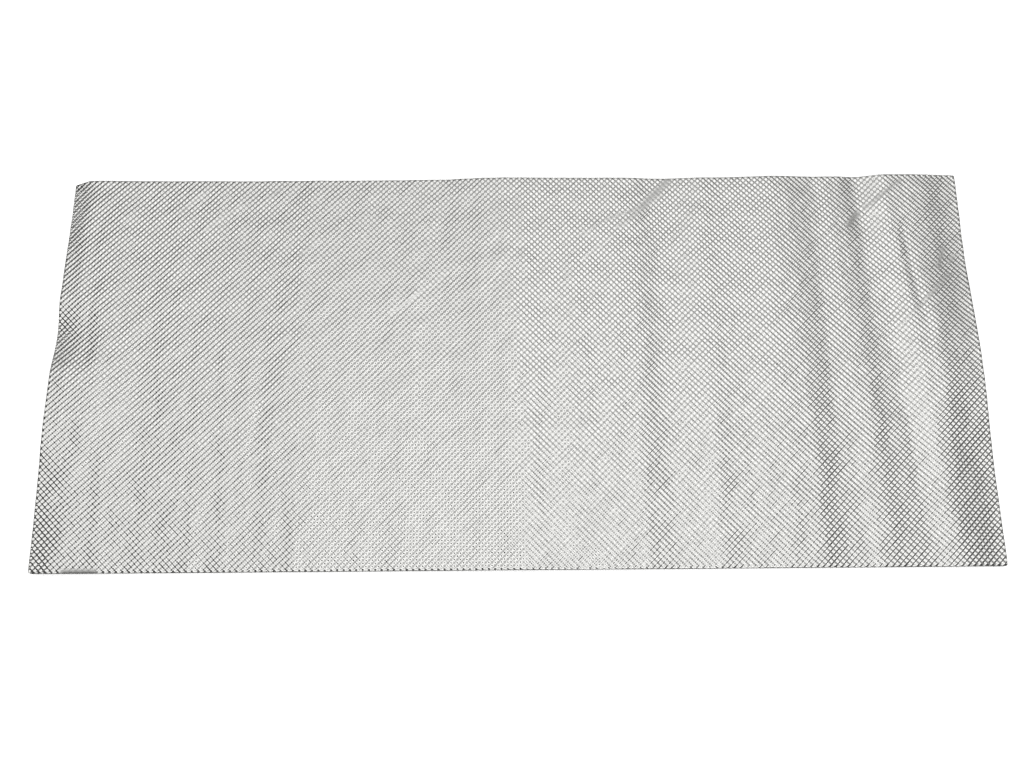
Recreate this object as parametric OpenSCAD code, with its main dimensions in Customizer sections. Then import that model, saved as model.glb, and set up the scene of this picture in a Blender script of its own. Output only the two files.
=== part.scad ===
// Embossed aluminium heat shield sheet, lying as it comes to rest after being unrolled.
// One piece: a thin sheet with pressed pillows on a diamond lattice, slow roll waves that run
// from front to back, lifted side edges, a left rim that turns down, one nipped corner and one
// stretch pressed flat.
// X runs along the sheet, Y from its near long edge to its far one, Z up from the surface.

/* [Sheet] */
// Length of the cut sheet, left to right
sheet_l = 1219.2; // [900:0.1:1300]
// Width of the cut sheet, front to back
sheet_w = 533.4; // [300:0.1:600]
// Thickness of the metal
wall = 0.5; // [0.3:0.05:1.2]

/* [Emboss] */
// Corner to corner size of one pillow; the real sheet has 7.8, drawn larger to keep faces few
pillow = 32; // [32:1:120]
// Height from the grooves between the pillows to their tops
relief = 1; // [0.4:0.1:3]

/* [Roll waves] */
// Height of the waves that the roll left, as a share of those in the photo
wave_share = 1; // [0:0.05:1.5]

/* [Edges and corners] */
// Lift of the left edge over the middle of its length
left_lift = 4.4; // [0:0.2:12]
// Lift of the right edge over the middle of its length
right_lift = 8; // [0:0.2:15]
// Lift of the far edge near its right corner
far_lift = 2.5; // [0:0.1:10]
// How far in from a side edge its lift starts
lift_reach = 140; // [60:1:200]
// How far the left rim turns down at its far end
rim_turn = 4.5; // [0:0.1:8]
// How far in from the left rim that turn starts
turn_reach = 42; // [30:1:80]
// Depth of the dent in the left rim
rim_dent = 7; // [0:0.1:12]
// Radius of the three round corners
corner_r = 6; // [2:0.5:12]
// Nip off the far left corner, along the far edge
nip_along = 14; // [4:0.5:15]
// Nip off the far left corner, along the left edge
nip_down = 8; // [3:0.5:14]

/* [Pressed flat stretch] */
// Middle of the stretch of near edge that is pressed flat, from the left edge
flat_at = 65; // [40:1:300]
// Length of that stretch
flat_run = 48; // [30:1:120]

/* [Hidden] */

// Half a pillow is one step of the grid; the steps fit the sheet's sides exactly
steps_x = round(2 * sheet_l / pillow);
steps_y = round(2 * sheet_w / pillow);
dx = sheet_l / steps_x;
dy = sheet_w / steps_y;
arc_steps = 4;

// Middle of each lift along its side, measured from the near edge, and half its length
left_lift_y = 235;
left_lift_half = 180;
right_lift_y = 265;
right_lift_half = 165;
// The far edge rises over this run, this far from the right edge, and over this depth of sheet
far_lift_x = 112;
far_lift_run = 40;
far_lift_depth = 120;
// The left rim turns down over these lengths, the middles of which are this far from the far and
// near edges, and it turns down less at the near corner
far_turn_run = 150;
far_turn_at = 105;
near_turn_run = 140;
near_turn_at = 70;
near_turn_share = 0.65;
// Place of the dent along the left rim, half its length, and how far in it reaches
dent_y = 308;
dent_half = 58;
dent_reach = 100;

// Roll waves. Each is a step up or down towards the right: its place on the near edge, its place
// on the far edge, its run, its rise on the near edge, its rise on the far edge
roll_steps = [
    [80, 80, 130, -4, -3.4],
    [205, 205, 120, -0.6, -2],
    [300, 300, 60, 1.2, 0.5],
    [375, 375, 90, -0.8, -0.8],
    [455, 455, 90, 1, 0.6],
    [572, 538, 100, 3.2, 5.4],
    [645, 640, 50, -2, -1.8],
    [725, 725, 120, -0.4, -2],
    [790, 787, 44, -2.6, -3.4],
    [843, 840, 46, 1.8, 2.8],
    [930, 930, 90, 1.4, 3.2],
    [1006, 1002, 50, -2.4, -3.8],
    [1056, 1034, 40, 1.6, 0.8],
    [1086, 1068, 40, -1, -2.6],
    [1150, 1098, 44, 2.2, 5],
    [1190, 1182, 56, -5.4, -4.2]
];

// A smooth step from 0 to 1 over run, centred on at
function step_up(v, at, run) =
    v <= at - run / 2 ? 0 :
    v >= at + run / 2 ? 1 : 0.5 - 0.5 * cos(180 * (v - at + run / 2) / run);

// A smooth bump of height 1 that reaches to half on each side of at
function swell(v, at, half) =
    abs(v - at) >= half ? 0 : 0.5 + 0.5 * cos(180 * (v - at) / half);

// A rim's turn at distance d in from it, as a share: 1 at the rim, 0 from reach on
function turn_down(d, reach) = d >= reach ? 0 : pow(1 - d / reach, 2);

function total(v) = v * [for (x = v) 1];

// Slow shape of the sheet's middle plane, with x from the left edge and y from the near edge
function roll_z(x, y) =
    wave_share * total([for (s = roll_steps)
        let (far = y / sheet_w)
        (s[3] + (s[4] - s[3]) * far) * step_up(x, s[0] + (s[1] - s[0]) * far, s[2])]);

function lift_z(x, y) =
    left_lift * (1 - step_up(x, lift_reach / 2, lift_reach)) * swell(y, left_lift_y, left_lift_half)
    + right_lift * step_up(x, sheet_l - lift_reach / 2, lift_reach)
        * swell(y, right_lift_y, right_lift_half)
    + far_lift * step_up(x, sheet_l - far_lift_x, far_lift_run)
        * step_up(y, sheet_w - far_lift_depth / 2, far_lift_depth);

// The left rim's turn at its two ends, and its dent; both go down
function rim_z(x, y) =
    let (far_share = step_up(y, sheet_w - far_turn_at, far_turn_run),
        near_share = near_turn_share * (1 - step_up(y, near_turn_at, near_turn_run)))
    -rim_turn * (far_share + near_share) * turn_down(x, turn_reach)
    - rim_dent * swell(y, dent_y, dent_half) * turn_down(x, dent_reach);

// Pillow tops and groove crossings alternate on the grid; the pressed stretch has neither
function pillow_z(i, j) =
    let (x = i * dx, pressed = j == 0 && abs(x - flat_at) < flat_run / 2)
    pressed ? 0 : (i + j) % 2 == 0 ? relief / 2 : -relief / 2;

function top_z(i, j) =
    let (x = i * dx, y = j * dy) roll_z(x, y) + lift_z(x, y) + rim_z(x, y) + pillow_z(i, j);

module shield_sheet() {
    heights = [for (j = [0:steps_y]) for (i = [0:steps_x]) top_z(i, j)];
    // The lowest groove of the underside lies on the surface
    seat = wall - min(heights);
    grid = [for (j = [0:steps_y]) for (i = [0:steps_x])
        [i * dx - sheet_l / 2, j * dy - sheet_w / 2, heights[j * (steps_x + 1) + i] + seat]];

    function id(i, j) = j * (steps_x + 1) + i;

    // Each corner is [grid column, grid row, direction inward along x, along y]
    corners = [[0, 0, 1, 1], [steps_x, 0, -1, 1], [steps_x, steps_y, -1, -1], [0, steps_y, 1, -1]];
    // Points of a round corner, from its end on the side edge to its end on the long edge
    function round_corner(c) =
        let (p = grid[id(c[0], c[1])])
        [for (k = [0:arc_steps]) let (a = 90 * k / arc_steps)
            p + [c[2] * corner_r * (1 - cos(a)), c[3] * corner_r * (1 - sin(a)), 0]];
    function nipped_corner(c) =
        let (p = grid[id(c[0], c[1])])
        [for (k = [0:arc_steps]) let (t = k / arc_steps)
            p + [c[2] * nip_along * t, c[3] * nip_down * (1 - t), 0]];
    corner_points = [for (k = [0:3]) each k == 3 ? nipped_corner(corners[k]) : round_corner(corners[k])];

    top = concat(grid, corner_points);
    count = len(top);
    bottom = [for (p = top) p - [0, 0, wall]];

    function corner_id(k, n) = len(grid) + k * (arc_steps + 1) + n;
    function is_corner(i, j) = (i == 0 || i == steps_x - 1) && (j == 0 || j == steps_y - 1);

    // Two triangles a cell, split along the line that joins its two groove crossings
    cells = [for (j = [0:steps_y - 1]) for (i = [0:steps_x - 1]) if (!is_corner(i, j))
        each (i + j) % 2 == 0
            ? [[id(i, j), id(i + 1, j), id(i, j + 1)], [id(i + 1, j), id(i + 1, j + 1), id(i, j + 1)]]
            : [[id(i, j), id(i + 1, j), id(i + 1, j + 1)], [id(i, j), id(i + 1, j + 1), id(i, j + 1)]]];

    // The sheet's edge, anticlockwise from above, with the corner points in their places
    function corner_run(k) = k % 2 == 0
        ? [for (n = [0:arc_steps]) corner_id(k, n)]
        : [for (n = [arc_steps:-1:0]) corner_id(k, n)];
    rim = concat(
        corner_run(0), [for (i = [1:steps_x - 1]) id(i, 0)],
        corner_run(1), [for (j = [1:steps_y - 1]) id(steps_x, j)],
        corner_run(2), [for (i = [steps_x - 1:-1:1]) id(i, steps_y)],
        corner_run(3), [for (j = [steps_y - 1:-1:1]) id(0, j)]);

    // A corner cell is a fan from its inner point to the rim that passes it
    fans = [for (k = [0:3])
        let (c = corners[k], run = corner_run(k), inner = id(c[0] + c[2], c[1] + c[3]),
            on_side = id(c[0], c[1] + c[3]), on_long = id(c[0] + c[2], c[1]),
            chain = k % 2 == 0 ? concat([on_side], run, [on_long]) : concat([on_long], run, [on_side]))
        for (n = [0:len(chain) - 2]) [inner, chain[n], chain[n + 1]]];

    upper = concat(cells, fans);
    lower = [for (f = upper) [f[0] + count, f[2] + count, f[1] + count]];
    edge = [for (n = [0:len(rim) - 1])
        let (a = rim[n], b = rim[(n + 1) % len(rim)])
        each [[a + count, b + count, b], [a + count, b, a]]];
    // Faces are listed clockwise as seen from outside
    faces = [for (f = concat(upper, lower, edge)) [f[2], f[1], f[0]]];
    color("silver") polyhedron(points = concat(top, bottom), faces = faces);
}

shield_sheet();
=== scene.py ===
"""Embossed aluminium heat shield sheet: its fine pressed surface, its metal and a pale studio.

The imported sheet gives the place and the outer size. Here its waves, lifted edges and corners are
worked out again on a grid as fine as the real emboss, on both faces, with the small folds,
dimples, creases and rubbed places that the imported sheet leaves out.
"""

import math

import bpy
import numpy as np
from bpy.props import (
    FloatProperty,
    FloatVectorProperty,
    PointerProperty,
)
from bpy.types import Operator, Panel, PropertyGroup
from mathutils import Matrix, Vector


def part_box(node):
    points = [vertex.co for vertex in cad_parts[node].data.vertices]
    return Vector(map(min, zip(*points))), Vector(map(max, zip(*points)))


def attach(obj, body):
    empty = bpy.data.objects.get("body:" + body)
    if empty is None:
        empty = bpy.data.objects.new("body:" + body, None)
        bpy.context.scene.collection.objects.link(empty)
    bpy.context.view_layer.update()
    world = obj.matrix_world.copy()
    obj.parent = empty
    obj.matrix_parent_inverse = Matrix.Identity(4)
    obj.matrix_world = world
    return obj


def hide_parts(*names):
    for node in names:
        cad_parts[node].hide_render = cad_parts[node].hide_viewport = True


bl_info = {
    "name": "Embossed Heat Shield Sheet",
    "version": (1, 0, 0),
    "blender": (4, 5, 0),
    "location": "View3D > Sidebar > Shield",
    "description": "Builds a thin embossed aluminium sheet with roll waves, and its studio",
    "category": "Add Mesh",
}

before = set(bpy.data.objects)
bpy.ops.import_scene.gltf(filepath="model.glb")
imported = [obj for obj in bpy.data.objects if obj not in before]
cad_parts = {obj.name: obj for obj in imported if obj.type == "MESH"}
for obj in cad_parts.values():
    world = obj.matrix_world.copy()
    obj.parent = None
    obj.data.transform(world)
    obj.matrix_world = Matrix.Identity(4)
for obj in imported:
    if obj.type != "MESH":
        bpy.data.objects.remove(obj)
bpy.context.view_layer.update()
SHEET_LOW, SHEET_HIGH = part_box("shield_sheet")

MM = 0.001
LENGTH = SHEET_HIGH.x - SHEET_LOW.x
WIDTH = SHEET_HIGH.y - SHEET_LOW.y


class ShieldSheetSizes(PropertyGroup):
    """Sizes of the pressed sheet."""

    wall: FloatProperty(
        name="Wall", description="Thickness of the metal", default=0.5 * MM, unit="LENGTH", precision=5
    )
    relief: FloatProperty(
        name="Relief",
        description="Height from the grooves to the pillow tops",
        default=1.0 * MM,
        unit="LENGTH",
        precision=5,
    )
    pillow: FloatProperty(
        name="Pillow",
        description="Corner to corner size of one pillow",
        default=7.84 * MM,
        unit="LENGTH",
        precision=5,
    )
    groove_round: FloatProperty(
        name="Groove round", description="How rounded the grooves are, as a share", default=0.1
    )
    fullness: FloatProperty(
        name="Fullness", description="Power of the pillow's profile: under 1 is fuller", default=1.8
    )
    lip: FloatProperty(
        name="Lip", description="Width of the sheared lip", default=1.2 * MM, unit="LENGTH", precision=5
    )
    lip_drop: FloatProperty(
        name="Lip drop",
        description="How far the sheared lip turns down",
        default=0.9 * MM,
        unit="LENGTH",
        precision=5,
    )
    left_lift: FloatProperty(
        name="Left lift", description="Lift of the left edge", default=4.4 * MM, unit="LENGTH"
    )
    right_lift: FloatProperty(
        name="Right lift", description="Lift of the right edge", default=8 * MM, unit="LENGTH"
    )
    far_lift: FloatProperty(
        name="Far lift",
        description="Lift of the far edge near its right corner",
        default=2.5 * MM,
        unit="LENGTH",
    )
    fold_height: FloatProperty(
        name="Fold height", description="Height of the faint folds", default=0.42 * MM, unit="LENGTH"
    )
    dimple_height: FloatProperty(
        name="Dimple height", description="Height of the soft dimples", default=0.36 * MM, unit="LENGTH"
    )
    rim_turn: FloatProperty(
        name="Rim turn", description="How far the left rim turns down", default=4.5 * MM, unit="LENGTH"
    )
    rim_dent: FloatProperty(
        name="Rim dent", description="Depth of the dent in the left rim", default=7 * MM, unit="LENGTH"
    )
    corner_radius: FloatProperty(
        name="Corner radius", description="Radius of the round corners", default=6 * MM, unit="LENGTH"
    )
    nip: FloatVectorProperty(
        name="Nip",
        description="Size of the nip off the far left corner, along each edge",
        size=2,
        default=(19 * MM, 5 * MM),
        unit="LENGTH",
    )


class ShieldFinish(PropertyGroup):
    """Colours and finish of the metal."""

    metal: FloatVectorProperty(
        name="Metal", description="Colour of the bright metal", subtype="COLOR", default=(0.88, 0.88, 0.865)
    )
    # The dark colour is rubbed metal at the marks, and painted shade along the rim
    dull_and_shaded_metal: FloatVectorProperty(
        name="Dull metal", description="Colour of rubbed metal", subtype="COLOR", default=(0.14, 0.14, 0.135)
    )
    roughness: FloatProperty(name="Roughness", description="Roughness of the bright metal", default=0.18)
    unevenness: FloatProperty(
        name="Unevenness", description="Chance height between pillows, as a share of the relief", default=0.4
    )
    streaks: FloatProperty(
        name="Streaks", description="Chance height between grooves, as a share of the relief", default=0.26
    )


class ShieldStage(PropertyGroup):
    """The studio: floor, lights and camera."""

    ceiling_level: FloatProperty(
        name="Ceiling level", description="Brightness of the ceiling outside the soft boxes", default=0.07
    )
    walls_level: FloatProperty(
        name="Walls level", description="Brightness of the pale walls low down all round", default=0.4
    )
    box_level: FloatProperty(
        name="Box level", description="Brightness of the soft boxes as a share", default=1.2
    )
    sun_level: FloatProperty(
        name="Sun level", description="Strength of the light that only whitens the floor", default=2.4
    )


# Waves left by the roll, in millimetres. Each is a smooth step up or down to the right:
# place at the near edge, place at the far edge, run, rise at the near edge, rise at the far edge
ROLL_STEPS = (
    (80, 80, 130, -4.0, -3.4),
    (205, 205, 120, -0.6, -2.0),
    (300, 300, 60, 1.2, 0.5),
    (375, 375, 90, -0.8, -0.8),
    (455, 455, 90, 1.0, 0.6),
    (572, 538, 100, 3.2, 5.4),
    (645, 640, 50, -2.0, -1.8),
    (725, 725, 120, -0.4, -2.0),
    (790, 787, 44, -2.6, -3.4),
    (843, 840, 46, 1.8, 2.8),
    (877, 877, 24, -0.9, -0.3),
    (930, 930, 90, 1.4, 3.2),
    (1006, 1002, 42, -2.4, -3.8),
    (1056, 1034, 26, 1.6, 0.8),
    (1086, 1068, 28, -1.0, -2.6),
    (1150, 1098, 44, 2.2, 5.0),
    (1190, 1182, 56, -5.4, -4.2),
)

# Lift of each side edge: how far in it starts, and its middle and half length along the edge
LEFT_LIFT_REACH = 140 * MM
LEFT_LIFT_AT = 235 * MM
LEFT_LIFT_HALF = 180 * MM
RIGHT_LIFT_REACH = 130 * MM
RIGHT_LIFT_AT = 265 * MM
RIGHT_LIFT_HALF = 165 * MM

# Lift of the far edge: middle of its rise, from the right edge, its run and its depth of sheet
FAR_LIFT_FROM_RIGHT = 112 * MM
FAR_LIFT_RUN = 40 * MM
FAR_LIFT_DEPTH = 120 * MM

# The left rim's turn at its far and near ends: middle and run of each along the rim, how far in
# it starts, and how deep the near end is as a share of the far one
FAR_TURN_AT = 430 * MM
FAR_TURN_RUN = 150 * MM
NEAR_TURN_AT = 70 * MM
NEAR_TURN_RUN = 140 * MM
TURN_REACH = 42 * MM
NEAR_TURN_SHARE = 0.65

# The left rim's dent: middle and half length along the rim, and how far in it starts
DENT_AT = 308 * MM
DENT_HALF = 58 * MM
DENT_REACH = 100 * MM

# The curl up beside the dent: the same three sizes, and its height as a share of the left lift
CURL_AT = 185 * MM
CURL_HALF = 70 * MM
CURL_REACH = 32 * MM
CURL_SHARE = 0.35

# Folds and dimples that handling left: shortest and longest wave, how far a wave may turn from
# the sheet's length, in radians, and the number of waves
FOLD_WAVES = (22 * MM, 90 * MM, 0.12, 22)
DIMPLE_WAVES = (16 * MM, 60 * MM, math.pi, 40)
HANDLING_SEED = 7

# Sharp creases, in millimetres from the near left corner: start, end, half width, height
CREASES = (
    ((1138, 450), (1143, 385), 9.0, -0.9),
    ((1143, 385), (1156, 312), 9.0, -0.6),
)

# Where the pillows are rubbed or pressed down, in millimetres from the near left corner:
# start, end, half width, share by which they are flattened, share by which they are dulled
MARKS = (
    ((46, 0), (82, 0), 4.5, 1.0, 0.75),
    ((822, 530), (783, 489), 3.8, 0.85, 0.25),
    ((783, 489), (734, 470), 2.6, 0.55, 0.15),
    ((734, 470), (699, 448), 2.0, 0.4, 0.1),
    ((811, 507), (747, 457), 2.2, 0.45, 0.1),
    ((740, 445), (700, 412), 2.2, 0.4, 0.0),
    ((1141, 524), (1089, 484), 2.2, 0.6, 0.35),
    ((1079, 477), (1066, 461), 4.5, 1.0, 0.5),
    ((1190, 424), (1180, 398), 4.0, 0.9, 0.4),
    ((1204, 416), (1197, 404), 3.0, 0.8, 0.35),
    ((1194, 389), (1160, 355), 2.6, 0.75, 0.35),
    ((1160, 355), (1115, 312), 1.6, 0.5, 0.3),
    ((442, 337), (484, 370), 2.8, 0.9, 0.0),
    ((484, 370), (528, 404), 2.4, 0.6, 0.0),
    ((231, 496), (185, 459), 2.6, 0.6, 0.0),
    ((177, 515), (151, 485), 2.4, 0.5, 0.0),
    ((284, 521), (258, 496), 2.6, 0.6, 0.0),
    ((343, 446), (317, 422), 2.8, 0.7, 0.0),
    ((370, 464), (384, 477), 2.2, 0.5, 0.0),
    ((452, 487), (486, 517), 2.4, 0.6, 0.0),
    ((555, 519), (507, 494), 2.4, 0.5, 0.0),
    ((791, 200), (792, 200), 2.0, 0.8, 0.0),
)

# The rim: a grid point this near the flat sheet's side lies on it, the pillows fade out over
# this many widths of the lip, and the metal is darkened and dulled by this share: partly the
# duller sheared lip, partly painted shade along the edge
AT_RIM = 0.01 * MM
FADE_LIPS = 2
RIM_DULL_AND_SHADE = 0.6

# Finish of the metal: size of the chance heights, length and width of the streaks along the
# grooves, roughness that full rubbing adds, and shade and roughness of the sheared edge
UNEVEN_SIZE = 6 * MM
STREAK_LENGTH = 60 * MM
STREAK_WIDTH = 7 * MM
DULL_ROUGHNESS = 0.4
EDGE_SHADE = 0.7
EDGE_ROUGHNESS = 0.45

# Faces that meet at more than this angle keep a sharp edge between them
SHARP_ANGLE = math.radians(60)

# Soft boxes of light seen in the metal, as slopes x/z and y/z from straight up:
# middle, half size, softness of the edge, brightness
SOFT_BOXES = (
    ((-0.46, -0.52), (0.14, 0.35), 0.09, 0.98),  # strip at the near left
    ((0.05, 1.98), (0.69, 1.68), 0.05, 0.17),  # deep and dim at the far side
    ((0.69, 0.25), (0.20, 0.42), 0.05, 0.70),  # strip at the right
    ((-0.17, 0.05), (0.54, 0.37), 0.39, 0.77),  # very soft, overhead
    ((0.23, -0.60), (0.24, 0.48), 0.05, 0.80),  # strip at the near side
    ((0.88, 1.26), (2.63, 1.84), 0.05, 0.16),  # widest and dimmest, at the far right
    ((-1.02, 0.22), (0.38, 0.69), 0.05, 0.22),  # dim at the left
)

# The light that comes from all round: slope from straight up where the pale walls begin, least
# height of a direction that a slope is worked out for, greatest exponent, and colour
WALLS_FROM = 6.8
LEAST_UP = 0.02
MOST_FALL = 30.0
LIGHT_COLOUR = (1.0, 1.0, 0.99)

# The floor lies just under the sheet, so that the two never share a plane
FLOOR_SIZE = 14.0
FLOOR_DROP = 0.2 * MM
FLOOR_COLOUR = (0.93, 0.93, 0.93)
FLOOR_ROUGHNESS = 0.9

# The light that only whitens the floor: how wide it is and how it leans, in degrees
SUN_WIDTH = 50
SUN_LEAN = (12, -8)

# The camera at the photo's viewing angle: the focal length is in pixels of a picture this wide,
# the sensor in millimetres, the place in metres and the turn in degrees
PICTURE_WIDTH = 1024
FOCAL_PIXELS = 905.3
SENSOR_WIDTH = 36
CAMERA_PLACE = (-0.0078, -0.3243, 1.1502)
CAMERA_TURN = (14.51, 0.07, -0.46)

# Width in pixels that a sample spreads over
PIXEL_FILTER = 1.2


def step_up(v, at, run):
    """A smooth step from 0 to 1 over run, centred on at: half a cosine wave."""
    t = np.clip((v - at) / run + 0.5, 0.0, 1.0)
    return 0.5 - 0.5 * np.cos(np.pi * t)


def swell(v, at, half):
    """A smooth hump of height 1 at at, down to 0 at half on each side: one cosine wave."""
    return 0.5 + 0.5 * np.cos(np.pi * np.clip(np.abs(v - at) / half, 0.0, 1.0))


def turn_down(distance, reach):
    """Share of a rim's turn at a distance in from it: the square of what is left of the reach."""
    return np.clip(1 - distance / reach, 0, None) ** 2


def roll_height(x, y):
    """Slow waves of the sheet in metres, x from its left edge and y from its near edge.

    They are the sum of the roll's steps. A step's place and rise change evenly from the near
    edge to the far one.
    """
    far = y / WIDTH
    height = np.zeros_like(x)
    for near_at, far_at, run, near_rise, far_rise in ROLL_STEPS:
        at = near_at + (far_at - near_at) * far
        height += (near_rise + (far_rise - near_rise) * far) * step_up(x / MM, at, run)
    return MM * height


def lift_height(x, y, sizes):
    """Lifts and turns of the edges in metres.

    A lift is a step in from the edge times a hump along it. The left rim turns down at both
    ends and in one dent, which reaches further in, and curls up beside the dent. The far edge
    rises a little near its right corner.
    """
    left = sizes.left_lift * (1 - step_up(x, LEFT_LIFT_REACH / 2, LEFT_LIFT_REACH))
    left = left * swell(y, LEFT_LIFT_AT, LEFT_LIFT_HALF)
    far_turn = step_up(y, FAR_TURN_AT, FAR_TURN_RUN)
    near_turn = 1 - step_up(y, NEAR_TURN_AT, NEAR_TURN_RUN)
    turn = -sizes.rim_turn * (far_turn + NEAR_TURN_SHARE * near_turn) * turn_down(x, TURN_REACH)
    dent = -sizes.rim_dent * swell(y, DENT_AT, DENT_HALF) * turn_down(x, DENT_REACH)
    curl = CURL_SHARE * sizes.left_lift * swell(y, CURL_AT, CURL_HALF) * turn_down(x, CURL_REACH)
    right = sizes.right_lift * step_up(x, LENGTH - RIGHT_LIFT_REACH / 2, RIGHT_LIFT_REACH)
    right = right * swell(y, RIGHT_LIFT_AT, RIGHT_LIFT_HALF)
    far = step_up(x, LENGTH - FAR_LIFT_FROM_RIGHT, FAR_LIFT_RUN)
    far = far * step_up(y, WIDTH - FAR_LIFT_DEPTH / 2, FAR_LIFT_DEPTH)
    return left + turn + dent + curl + right + sizes.far_lift * far


def small_waves(x, y, sizes):
    """Handling marks in metres: faint folds that run from front to back, and soft dimples.

    Both are sums of sine waves with chance lengths, directions and starts. The folds' waves
    lie within a few degrees of the long side; the dimples' waves lie at all angles.
    """
    chance = np.random.default_rng(HANDLING_SEED)
    height = np.zeros_like(x)
    kinds = ((sizes.fold_height, FOLD_WAVES), (sizes.dimple_height, DIMPLE_WAVES))
    for amount, (shortest, longest, spread, count) in kinds:
        lengths = shortest * (longest / shortest) ** chance.random(count)
        angles = chance.uniform(-spread, spread, count)
        starts = chance.uniform(0, 2 * math.pi, count)
        for length, angle, start in zip(lengths, angles, starts, strict=True):
            turns = (x * math.cos(angle) + y * math.sin(angle)) / length
            height += amount * (length / longest) * np.sin(2 * math.pi * turns + start) / math.sqrt(count)
    return height


def from_line(x, y, start, end):
    """Distance in millimetres from the straight line between two places."""
    run_x, run_y = end[0] - start[0], end[1] - start[1]
    from_x, from_y = x / MM - start[0], y / MM - start[1]
    share = np.clip((from_x * run_x + from_y * run_y) / (run_x**2 + run_y**2), 0, 1)
    return np.hypot(from_x - share * run_x, from_y - share * run_y)


def creases(x, y):
    """The sharp creases in metres: a hump across each line, the larger one where two meet."""
    humps = [height * swell(from_line(x, y, start, end), 0, half) for start, end, half, height in CREASES]
    humps.append(np.zeros_like(x))
    return MM * (np.max(humps, axis=0) + np.min(humps, axis=0))


def worn(x, y):
    """How far the pillows stand up, and how dull the metal is, both from 0 to 1.

    Each mark is full out to half its half width from its line, and gone at one and a half.
    """
    standing, dull_and_rim_shade = np.ones_like(x), np.zeros_like(x)
    for start, end, half, flat, dull in MARKS:
        inside = np.clip(1.5 - from_line(x, y, start, end) / half, 0, 1)
        standing = np.minimum(standing, 1 - flat * inside)
        dull_and_rim_shade = np.maximum(dull_and_rim_shade, dull * inside)
    return standing, dull_and_rim_shade


def half_pillows(sizes):
    """Number of half pillows along the sheet and across it, to the nearest whole one."""
    return round(2 * LENGTH / sizes.pillow), round(2 * WIDTH / sizes.pillow)


def pillow_pitch(sizes):
    """Size of a pillow along the sheet and across it, so that half pillows fit the sides."""
    count_x, count_y = half_pillows(sizes)
    return 2 * LENGTH / count_x, 2 * WIDTH / count_y


def pillow_height(x, y, sizes):
    """Pillow profile from 0 where two grooves cross to 1 at the tops.

    In pillow units u and v the two families of grooves are |sin(pi (u + v))| and
    |sin(pi (u - v))|, rounded at the foot and raised to a power; the height is their mean.
    """
    pitch_x, pitch_y = pillow_pitch(sizes)
    u, v = x / pitch_x, y / pitch_y
    foot = sizes.groove_round

    def ridge(t):
        wave = np.sqrt(np.sin(np.pi * t) ** 2 + foot**2) - foot
        return (wave / (math.sqrt(1 + foot**2) - foot)) ** sizes.fullness

    return (ridge(u + v) + ridge(u - v)) / 2


def grid_line(count, side, lip):
    """Places of the grid lines along one side: even half pillows, and one more line at each lip."""
    even = np.linspace(0.0, side, count + 1)
    return np.concatenate(([0.0, lip], even[1:-1], [side - lip, side]))


def round_corner(x, y, radius, left, near):
    """Moves the rim in at one corner onto a round: the points of each edge move straight in."""
    in_x = x if left else LENGTH - x
    in_y = y if near else WIDTH - y
    inward_x = 1 if left else -1
    inward_y = 1 if near else -1
    on_long = (in_y <= 0) & (in_x < radius) & (in_x > 0)
    on_side = (in_x <= 0) & (in_y < radius) & (in_y > 0)
    at_corner = (in_x <= 0) & (in_y <= 0)
    corner_step = radius * (1 - math.sqrt(0.5))
    long_step = radius - np.sqrt(np.maximum(radius**2 - (radius - in_x) ** 2, 0))
    side_step = radius - np.sqrt(np.maximum(radius**2 - (radius - in_y) ** 2, 0))
    y = y + inward_y * np.where(on_long, long_step, np.where(at_corner, corner_step, 0))
    x = x + inward_x * np.where(on_side, side_step, np.where(at_corner, corner_step, 0))
    return x, y


def cut_corners(x, y, sizes):
    """Moves the rim in at the corners: three onto a round, the far left onto a straight nip.

    The nip presses the rows behind it together, over four times its own depth.
    """
    for left, near in ((True, True), (False, True), (False, False)):
        x, y = round_corner(x, y, sizes.corner_radius, left, near)
    nip_x, nip_y = sizes.nip
    blend = 4 * nip_y
    inset = nip_y * np.clip(1 - x / nip_x, 0, 1)
    from_far = WIDTH - y
    y = WIDTH - np.where(from_far < blend, inset + from_far * (1 - inset / blend), from_far)
    return x, y


def closed_faces(pillows):
    """Triangles of both faces and the cut edge, and their material slots: 0 faces, 1 edge.

    Grooves run along the diagonals whose two ends are both low, and a cell is split there.
    """
    rows, cols = pillows.shape
    ids = np.arange(rows * cols).reshape(rows, cols)
    heights = pillows.ravel()
    a, b, c, d = ids[:-1, :-1], ids[:-1, 1:], ids[1:, 1:], ids[1:, :-1]
    rising = (heights[a] + heights[c] < heights[b] + heights[d])[..., None]
    first = np.where(rising, np.stack([a, b, c], -1), np.stack([a, b, d], -1))
    second = np.where(rising, np.stack([a, c, d], -1), np.stack([b, c, d], -1))
    upper = np.concatenate([first.reshape(-1, 3), second.reshape(-1, 3)])
    lower = upper[:, ::-1] + rows * cols
    loop = np.concatenate([ids[0, :-1], ids[:-1, -1], ids[-1, :0:-1], ids[:0:-1, 0]])
    after = np.roll(loop, -1)
    low, low_after = loop + rows * cols, after + rows * cols
    edge = np.concatenate([np.stack([low, low_after, after], -1), np.stack([low, after, loop], -1)])
    faces = np.concatenate([upper, lower, edge])
    slots = np.concatenate([np.zeros(len(upper) + len(lower), int), np.ones(len(edge), int)])
    return faces, slots


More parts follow.
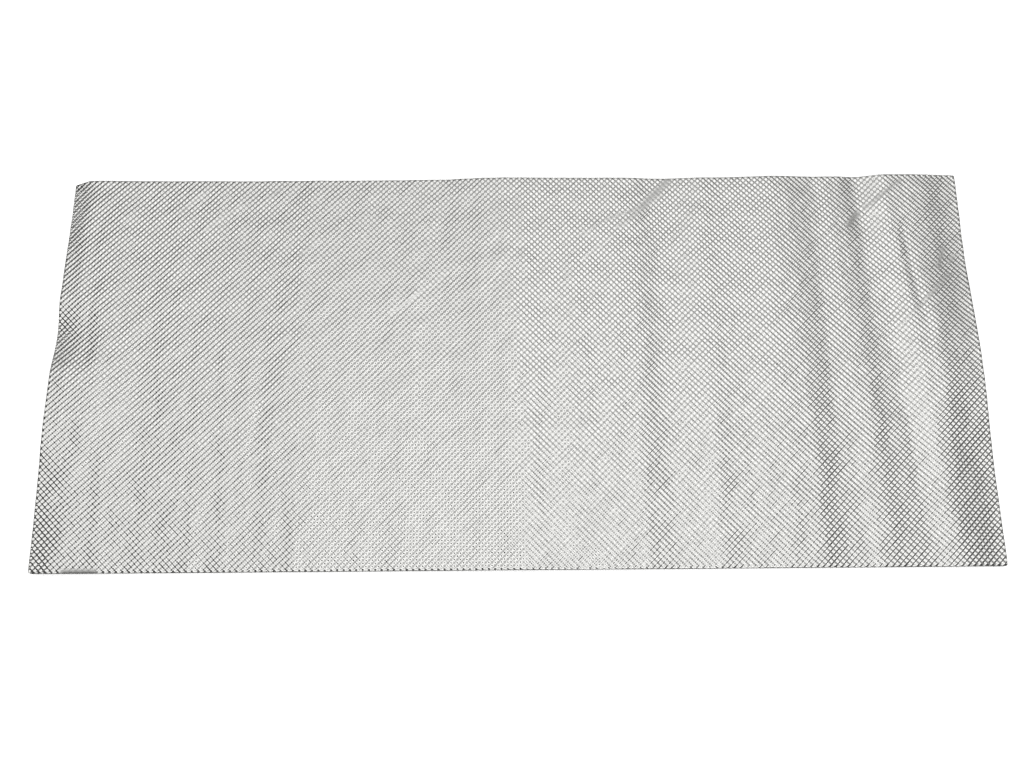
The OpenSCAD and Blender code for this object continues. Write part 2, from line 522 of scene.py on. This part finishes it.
def sheet_mesh(sizes):
    """Both faces of the sheet and its cut edge as one closed mesh, with its wear and painted rim shade.

    The upper face is the sum of all the waves, lifts and pillows over a grid of half pillows.
    The lower face is the same, lower by the thickness of the metal.
    """
    count_x, count_y = half_pillows(sizes)
    lines_x = grid_line(count_x, LENGTH, sizes.lip)
    lines_y = grid_line(count_y, WIDTH, sizes.lip)
    flat_x, flat_y = np.meshgrid(lines_x, lines_y)
    pillows = pillow_height(flat_x, flat_y, sizes)
    rim_gap = np.minimum(np.minimum(flat_x, LENGTH - flat_x), np.minimum(flat_y, WIDTH - flat_y))
    on_rim = rim_gap < AT_RIM
    x, y = cut_corners(flat_x, flat_y, sizes)
    standing, dull_and_rim_shade = worn(x, y)
    standing = standing * np.clip(rim_gap / (FADE_LIPS * sizes.lip), 0, 1)
    # Painted shade: the rim's dark colour is partly the duller sheared lip and partly shade painted along
    # the edge
    dull_and_rim_shade = np.maximum(dull_and_rim_shade, RIM_DULL_AND_SHADE * on_rim)
    z = roll_height(x, y) + lift_height(x, y, sizes) + small_waves(x, y, sizes) + creases(x, y)
    z = z + sizes.relief * standing * (pillows - 0.5) - sizes.lip_drop * on_rim
    z = z - z.min() + sizes.wall
    top = np.stack([x - LENGTH / 2, y - WIDTH / 2, z], -1).reshape(-1, 3)
    points = np.concatenate([top, top - [0, 0, sizes.wall]])
    faces, slots = closed_faces(pillows)
    return points, faces, slots, {"standing": standing, "dull_and_rim_shade": dull_and_rim_shade}


def new_mesh(name, points, faces, slots):
    """A mesh object from whole arrays of points, triangles and material slots."""
    mesh = bpy.data.meshes.new(name)
    mesh.vertices.add(len(points))
    mesh.vertices.foreach_set("co", points.astype(np.float32).ravel())
    mesh.loops.add(faces.size)
    mesh.loops.foreach_set("vertex_index", faces.astype(np.int32).ravel())
    mesh.polygons.add(len(faces))
    mesh.polygons.foreach_set("loop_start", np.arange(0, faces.size, 3, dtype=np.int32))
    mesh.polygons.foreach_set("material_index", slots.astype(np.int32))
    mesh.polygons.foreach_set("use_smooth", np.ones(len(faces), dtype=bool))
    mesh.update(calc_edges=True)
    mesh.validate()
    piece = bpy.data.objects.new(name, mesh)
    bpy.context.scene.collection.objects.link(piece)
    return piece


class Wiring:
    """Adds nodes to a tree and links them, so that a formula reads in one line a step."""

    def __init__(self, tree):
        self.tree = tree

    def add(self, kind, **settings):
        """A new node with its settings."""
        node = self.tree.nodes.new(kind)
        for key, value in settings.items():
            setattr(node, key, value)
        return node

    def feed(self, value, socket):
        """Links a socket, or sets a plain value."""
        if isinstance(value, bpy.types.NodeSocket):
            self.tree.links.new(value, socket)
        else:
            socket.default_value = value

    def maths(self, operation, *values, clamp=False):
        """One Math node and its result."""
        node = self.add("ShaderNodeMath", operation=operation, use_clamp=clamp)
        for value, socket in zip(values, node.inputs, strict=False):
            self.feed(value, socket)
        return node.outputs[0]

    def length(self, along, across):
        """Length of a flat arrow: the square root of the sum of the squares of its two sides."""
        squares = [self.maths("MULTIPLY", side, side) for side in (along, across)]
        return self.maths("SQRT", self.maths("ADD", *squares))

    def split(self, vector):
        """The x, y and z of a vector."""
        node = self.add("ShaderNodeSeparateXYZ")
        self.feed(vector, node.inputs[0])
        return list(node.outputs)

    def group(self, tree, inputs):
        """A node that holds a group, with its inputs set or linked by name, and its result."""
        node = self.add("ShaderNodeGroup", node_tree=tree)
        for title, value in inputs.items():
            self.feed(value, node.inputs[title])
        return node.outputs[0]


def new_group(name, inputs, outputs):
    """A shader node group with named sockets, and its wiring."""
    tree = bpy.data.node_groups.new(name, "ShaderNodeTree")
    for title, kind, default in inputs:
        socket = tree.interface.new_socket(title, in_out="INPUT", socket_type=kind)
        if default is not None:
            socket.default_value = default
    for title, kind in outputs:
        tree.interface.new_socket(title, in_out="OUTPUT", socket_type=kind)
    wiring = Wiring(tree)
    return wiring, wiring.add("NodeGroupInput"), wiring.add("NodeGroupOutput")


def pillow_group(sizes):
    """Height of the pressed pillows over a plan place, by the formula of pillow_height."""
    wiring, given, result = new_group(
        "Pressed Pillows",
        [
            ("Place", "NodeSocketVector", None),
            ("Pitch X", "NodeSocketFloat", sizes.pillow),
            ("Pitch Y", "NodeSocketFloat", sizes.pillow),
            ("Groove Round", "NodeSocketFloat", sizes.groove_round),
            ("Fullness", "NodeSocketFloat", sizes.fullness),
        ],
        [("Height", "NodeSocketFloat")],
    )
    place_x, place_y = wiring.split(given.outputs["Place"])[:2]
    u = wiring.maths("DIVIDE", place_x, given.outputs["Pitch X"])
    v = wiring.maths("DIVIDE", place_y, given.outputs["Pitch Y"])
    foot = given.outputs["Groove Round"]
    foot_2 = wiring.maths("MULTIPLY", foot, foot)
    full = wiring.maths("SUBTRACT", wiring.maths("SQRT", wiring.maths("ADD", foot_2, 1.0)), foot)

    def ridge(t):
        wave = wiring.maths("SINE", wiring.maths("MULTIPLY", t, math.pi))
        root = wiring.maths("SQRT", wiring.maths("ADD", wiring.maths("MULTIPLY", wave, wave), foot_2))
        share = wiring.maths("DIVIDE", wiring.maths("SUBTRACT", root, foot), full)
        return wiring.maths("POWER", wiring.maths("MAXIMUM", share, 0.0), given.outputs["Fullness"])

    both = wiring.maths("ADD", ridge(wiring.maths("ADD", u, v)), ridge(wiring.maths("SUBTRACT", u, v)))
    wiring.feed(wiring.maths("MULTIPLY", both, 0.5), result.inputs["Height"])
    return wiring.tree


def streak_group():
    """Chance value from 0 to 1 that changes from groove to groove and slowly along each one.

    It is a smooth flat noise, drawn out along the grooves that run from near left to far right.
    """
    wiring, given, result = new_group(
        "Groove Streaks",
        [
            ("Place", "NodeSocketVector", None),
            ("Length", "NodeSocketFloat", STREAK_LENGTH),
            ("Width", "NodeSocketFloat", STREAK_WIDTH),
        ],
        [("Value", "NodeSocketFloat")],
    )
    place_x, place_y = wiring.split(given.outputs["Place"])[:2]
    along = wiring.maths("ADD", place_x, place_y)
    across = wiring.maths("SUBTRACT", place_x, place_y)
    turned = wiring.add("ShaderNodeCombineXYZ")
    wiring.feed(wiring.maths("DIVIDE", along, given.outputs["Length"]), turned.inputs[0])
    wiring.feed(wiring.maths("DIVIDE", across, given.outputs["Width"]), turned.inputs[1])
    noise = wiring.add("ShaderNodeTexNoise", noise_dimensions="2D")
    noise.inputs["Scale"].default_value = 1.0
    noise.inputs["Detail"].default_value = 1.0
    wiring.feed(turned.outputs[0], noise.inputs["Vector"])
    wiring.feed(noise.outputs["Fac"], result.inputs["Value"])
    return wiring.tree


def face_height(wiring, sizes, finish):
    """Height of the face in shares of the relief.

    It is the pillows' height where they stand, plus a chance height and the grooves' streaks.
    """
    place = wiring.add("ShaderNodeTexCoord").outputs["Object"]
    from_corner = wiring.add("ShaderNodeVectorMath", operation="ADD")
    wiring.feed(place, from_corner.inputs[0])
    from_corner.inputs[1].default_value = (LENGTH / 2, WIDTH / 2, 0.0)
    pitch_x, pitch_y = pillow_pitch(sizes)
    pillow_inputs = {
        "Place": from_corner.outputs[0],
        "Pitch X": pitch_x,
        "Pitch Y": pitch_y,
        "Groove Round": sizes.groove_round,
        "Fullness": sizes.fullness,
    }
    streak_inputs = {"Place": place, "Length": STREAK_LENGTH, "Width": STREAK_WIDTH}
    pillows = wiring.group(pillow_group(sizes), pillow_inputs)
    streaks = wiring.group(streak_group(), streak_inputs)
    standing = wiring.add("ShaderNodeAttribute", attribute_name="standing").outputs["Fac"]
    uneven = wiring.add("ShaderNodeTexNoise")
    wiring.feed(place, uneven.inputs["Vector"])
    uneven.inputs["Scale"].default_value = 1 / UNEVEN_SIZE
    uneven.inputs["Detail"].default_value = 1.0
    height = wiring.maths("MULTIPLY", wiring.maths("SUBTRACT", pillows, 0.5), standing)
    height = wiring.maths("MULTIPLY_ADD", uneven.outputs["Fac"], finish.unevenness, height)
    return wiring.maths("MULTIPLY_ADD", streaks, finish.streaks, height)


def face_metal(sizes, finish):
    """Bright embossed metal, dark and dull where it is rubbed and, as painted shade, along the rim, with the
    pillows' profile as bump.
    """
    material = bpy.data.materials.new("embossed_metal")
    material.use_nodes = True
    wiring = Wiring(material.node_tree)
    shader = material.node_tree.nodes["Principled BSDF"]
    shader.inputs["Metallic"].default_value = 1.0
    # Dark where rubbed, and painted shade along the rim
    dull_and_rim_shade = wiring.add("ShaderNodeAttribute", attribute_name="dull_and_rim_shade").outputs["Fac"]
    tint = wiring.add("ShaderNodeMix", data_type="RGBA")
    tint.inputs["A"].default_value = (*finish.metal, 1.0)
    tint.inputs["B"].default_value = (*finish.dull_and_shaded_metal, 1.0)
    wiring.feed(dull_and_rim_shade, tint.inputs["Factor"])
    wiring.feed(tint.outputs["Result"], shader.inputs["Base Color"])
    rough = wiring.maths("MULTIPLY_ADD", dull_and_rim_shade, DULL_ROUGHNESS, finish.roughness)
    wiring.feed(rough, shader.inputs["Roughness"])
    bump = wiring.add("ShaderNodeBump")
    bump.inputs["Strength"].default_value = 1.0
    bump.inputs["Distance"].default_value = sizes.relief
    wiring.feed(face_height(wiring, sizes, finish), bump.inputs["Height"])
    wiring.feed(bump.outputs["Normal"], shader.inputs["Normal"])
    return material


def plain_material(name, colour, roughness, metallic):
    """A material of one colour and finish."""
    material = bpy.data.materials.new(name)
    material.use_nodes = True
    shader = material.node_tree.nodes["Principled BSDF"]
    shader.inputs["Metallic"].default_value = metallic
    shader.inputs["Roughness"].default_value = roughness
    shader.inputs["Base Color"].default_value = (*colour, 1.0)
    return material


def edge_metal(finish):
    """The sheared edge: duller bare metal."""
    shade = [EDGE_SHADE * part for part in finish.metal]
    return plain_material("cut_edge", shade, EDGE_ROUGHNESS, 1.0)


def floor_paint():
    """Matt white studio floor."""
    return plain_material("studio_white", FLOOR_COLOUR, FLOOR_ROUGHNESS, 0.0)


def add_floor():
    """A wide plain floor just under the sheet."""
    bpy.ops.mesh.primitive_plane_add(size=FLOOR_SIZE, location=(0, 0, -FLOOR_DROP))
    floor = bpy.context.object
    floor.name = "floor"
    floor.data.materials.append(floor_paint())


def add_sky(stage):
    """Light from all round: pale walls low down, a dim ceiling and soft boxes overhead.

    A direction's slopes x/z and y/z are measured from each box's middle in half sizes; the
    distance turns to brightness by a smooth step, and the boxes add up. The walls come up
    evenly over one unit of slope from WALLS_FROM on.
    """
    world = bpy.data.worlds.new("studio")
    bpy.context.scene.world = world
    world.use_nodes = True
    wiring = Wiring(world.node_tree)
    background = world.node_tree.nodes["Background"]
    toward = wiring.split(wiring.add("ShaderNodeTexCoord").outputs["Generated"])
    up = wiring.maths("MAXIMUM", toward[2], LEAST_UP)
    slopes = [wiring.maths("DIVIDE", toward[k], up) for k in range(2)]
    walls = wiring.maths("SUBTRACT", wiring.length(*slopes), WALLS_FROM, clamp=True)
    level = wiring.maths("MULTIPLY_ADD", walls, stage.walls_level, stage.ceiling_level)
    for middle, half, soft, bright in SOFT_BOXES:
        offsets = [wiring.maths("SUBTRACT", slopes[k], middle[k]) for k in range(2)]
        shares = [wiring.maths("DIVIDE", offsets[k], half[k]) for k in range(2)]
        past_edge = wiring.maths("SUBTRACT", wiring.length(*shares), 1.0)
        fall = wiring.maths("MINIMUM", wiring.maths("DIVIDE", past_edge, soft), MOST_FALL)
        inside = wiring.maths("DIVIDE", 1.0, wiring.maths("ADD", wiring.maths("EXPONENT", fall), 1.0))
        level = wiring.maths("MULTIPLY_ADD", inside, stage.box_level * bright, level)
    background.inputs["Color"].default_value = (*LIGHT_COLOUR, 1.0)
    wiring.feed(level, background.inputs["Strength"])


def add_floor_light(stage):
    """A broad light overhead that the metal doesn't mirror."""
    light = bpy.data.lights.new("floor_light", "SUN")
    light.energy = stage.sun_level
    light.angle = math.radians(SUN_WIDTH)
    sun = bpy.data.objects.new("floor_light", light)
    sun.rotation_euler = (math.radians(SUN_LEAN[0]), math.radians(SUN_LEAN[1]), 0)
    sun.visible_glossy = False
    bpy.context.scene.collection.objects.link(sun)


def add_camera():
    """The camera, at the photo's viewing angle."""
    camera = bpy.data.objects.new("camera", bpy.data.cameras.new("camera"))
    camera.data.sensor_width = SENSOR_WIDTH
    camera.data.lens = FOCAL_PIXELS / PICTURE_WIDTH * SENSOR_WIDTH
    camera.location = CAMERA_PLACE
    camera.rotation_euler = [math.radians(turn) for turn in CAMERA_TURN]
    bpy.context.scene.collection.objects.link(camera)
    bpy.context.scene.camera = camera


class SHIELD_OT_sheet(Operator):
    """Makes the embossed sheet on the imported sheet's place"""

    bl_idname = "shield.make_sheet"
    bl_label = "Make Sheet"

    def execute(self, context):
        sizes, finish = context.scene.shield_sizes, context.scene.shield_finish
        points, faces, slots, wear = sheet_mesh(sizes)
        piece = new_mesh("embossed_sheet", points, faces, slots)
        for key, values in wear.items():
            on_both_faces = np.tile(values.ravel(), 2).astype(np.float32)
            piece.data.attributes.new(key, "FLOAT", "POINT").data.foreach_set("value", on_both_faces)
        piece.data.set_sharp_from_angle(angle=SHARP_ANGLE)
        piece.data.materials.append(face_metal(sizes, finish))
        piece.data.materials.append(edge_metal(finish))
        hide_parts("shield_sheet")
        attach(piece, "root")
        return {"FINISHED"}


class SHIELD_OT_stage(Operator):
    """Makes the floor, the lights and the camera"""

    bl_idname = "shield.make_stage"
    bl_label = "Make Stage"

    def execute(self, context):
        scene = context.scene
        add_floor()
        add_sky(scene.shield_stage)
        add_floor_light(scene.shield_stage)
        add_camera()
        scene.view_settings.view_transform = "Standard"
        # The pillows are only a few pixels wide, and the denoiser and a wide filter blur them
        scene.cycles.use_denoising = False
        scene.cycles.filter_width = PIXEL_FILTER
        return {"FINISHED"}


class SHIELD_PT_panel(Panel):
    """Sidebar panel with the sheet's sizes and the operators"""

    bl_label = "Heat Shield Sheet"
    bl_idname = "SHIELD_PT_panel"
    bl_space_type = "VIEW_3D"
    bl_region_type = "UI"
    bl_category = "Shield"

    def draw(self, context):
        for name in ("shield_sizes", "shield_finish", "shield_stage"):
            group = getattr(context.scene, name)
            box = self.layout.box()
            for key in group.bl_rna.properties.keys():
                if key not in ("rna_type", "name"):
                    box.prop(group, key)
        self.layout.operator(SHIELD_OT_sheet.bl_idname)
        self.layout.operator(SHIELD_OT_stage.bl_idname)


CLASSES = (
    ShieldSheetSizes,
    ShieldFinish,
    ShieldStage,
    SHIELD_OT_sheet,
    SHIELD_OT_stage,
    SHIELD_PT_panel,
)


def register():
    """Registers the classes and hangs their settings on the scene."""
    for cls in CLASSES:
        bpy.utils.register_class(cls)
    bpy.types.Scene.shield_sizes = PointerProperty(type=ShieldSheetSizes)
    bpy.types.Scene.shield_finish = PointerProperty(type=ShieldFinish)
    bpy.types.Scene.shield_stage = PointerProperty(type=ShieldStage)


def unregister():
    """Takes the settings and the classes away again."""
    for name in ("shield_sizes", "shield_finish", "shield_stage"):
        delattr(bpy.types.Scene, name)
    for cls in reversed(CLASSES):
        bpy.utils.unregister_class(cls)


def main():
    register()
    bpy.ops.shield.make_sheet()
    bpy.ops.shield.make_stage()


if __name__ == "__main__":
    main()
